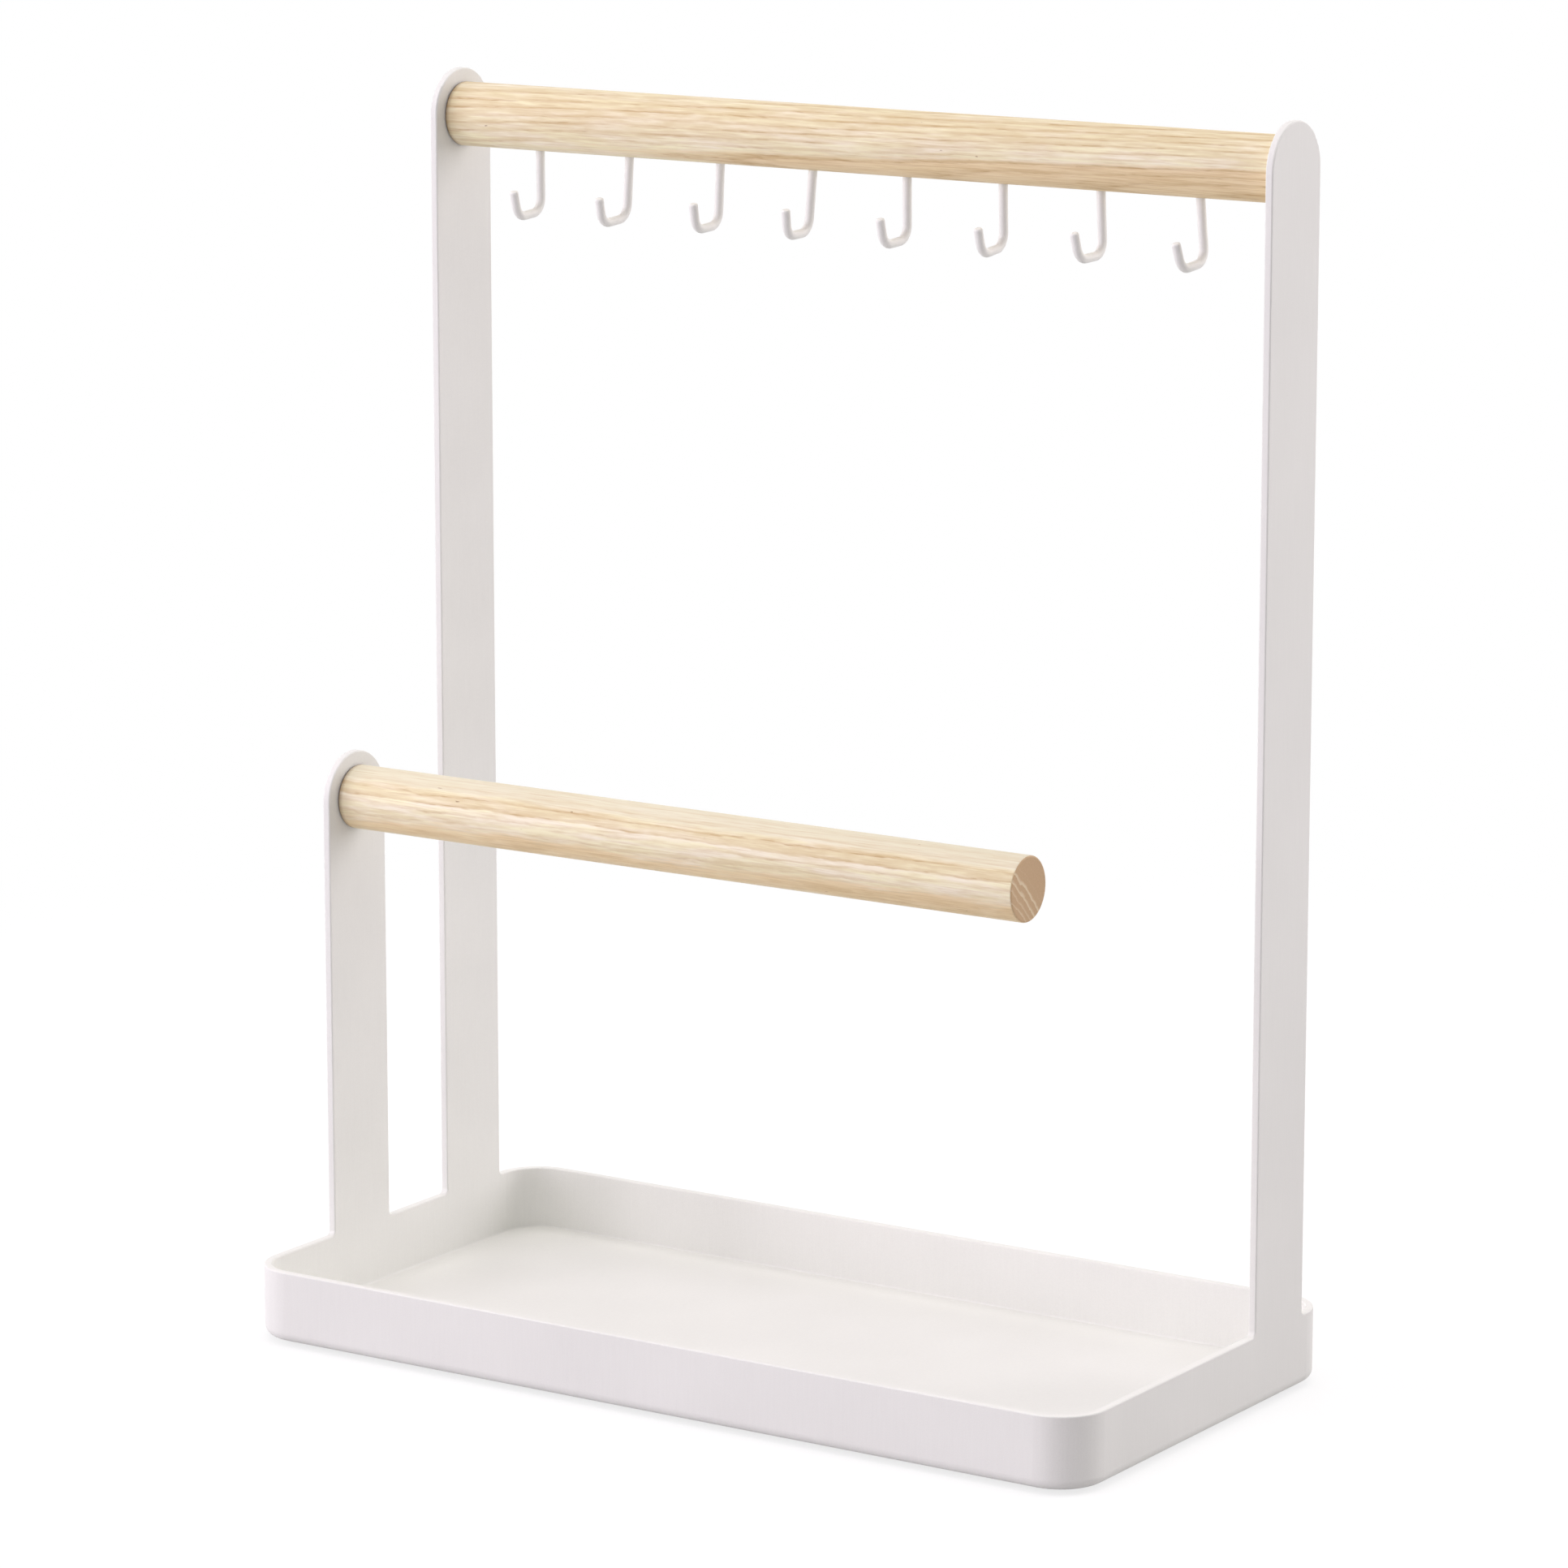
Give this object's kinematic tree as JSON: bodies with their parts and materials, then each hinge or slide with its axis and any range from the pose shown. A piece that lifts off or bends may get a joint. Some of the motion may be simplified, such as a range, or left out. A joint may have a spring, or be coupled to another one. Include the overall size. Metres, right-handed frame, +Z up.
{
  "type": "jewelry display stand",
  "caption": "Open jewellery stand: shallow metal tray, flat round-headed uprights, a hooked wooden bar across the back and a shorter free-ended bar in front.",
  "frame": {"origin": "on the table, under the middle of the tray", "axes": "+X along the bars to the free end of the lower bar, -Y to the front where the hooks open, +Z up"},
  "size_m": [0.24, 0.12, 0.308],
  "materials": {
    "white_powder_coat": "warm white fine satin powder coat",
    "ash_wood": "pale ash, long wavy grain, clear matt finish",
    "stud_steel": "bright turned steel",
    "foot_pad": "soft translucent grey-white"
  },
  "bodies": {
    "root": {"tray": "white_powder_coat", "rear_left_upright": "white_powder_coat", "rear_right_upright": "white_powder_coat", "front_left_upright": "white_powder_coat", "hook_1": "white_powder_coat", "hook_2": "white_powder_coat", "hook_3": "white_powder_coat", "hook_4": "white_powder_coat", "hook_5": "white_powder_coat", "hook_6": "white_powder_coat", "hook_7": "white_powder_coat", "hook_8": "white_powder_coat", "upper_bar": "ash_wood", "lower_bar": "ash_wood", "upper_left_stud": "stud_steel", "upper_right_stud": "stud_steel", "lower_stud": "stud_steel", "front_left_pad": "foot_pad", "front_right_pad": "foot_pad", "rear_left_pad": "foot_pad", "rear_right_pad": "foot_pad"}
  },
  "joints": []
}
